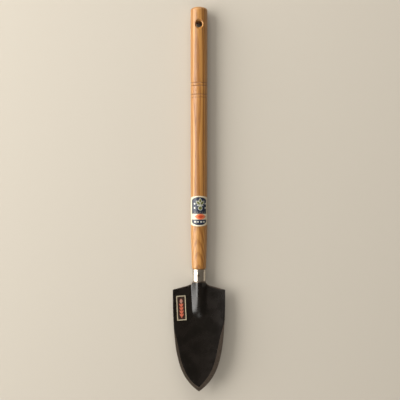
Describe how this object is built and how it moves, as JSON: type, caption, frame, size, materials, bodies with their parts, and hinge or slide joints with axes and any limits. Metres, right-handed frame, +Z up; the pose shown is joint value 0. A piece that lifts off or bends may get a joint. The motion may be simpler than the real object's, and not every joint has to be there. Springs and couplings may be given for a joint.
{
  "type": "hand transplanter",
  "caption": "Long wooden handle with a hanging hole, a steel ferrule and a pointed, slightly dished steel blade with a raised ridge and a ground edge.",
  "frame": {"origin": "on the surface that the tool lies on, under the middle of its length and width", "axes": "+Y from the blade's tip to the handle's butt, +Z up out of the blade's hollow side, +X to the right seen from the front with the blade pointing down"},
  "size_m": [0.082, 0.5968, 0.0265],
  "materials": {
    "oak": "satin, light oak with open grain",
    "stainless": "polished",
    "black_steel": "satin black, ground bare metal along the front edge",
    "raw_steel": "forged, dark",
    "navy_label": "printed label, semi-gloss",
    "black_label": "printed sticker, semi-gloss"
  },
  "bodies": {
    "root": {"handle": "oak", "ferrule": "stainless", "ferrule_pin": "stainless", "blade": "black_steel", "tang": "raw_steel", "handle_label": "navy_label", "blade_label": "black_label"}
  },
  "joints": []
}
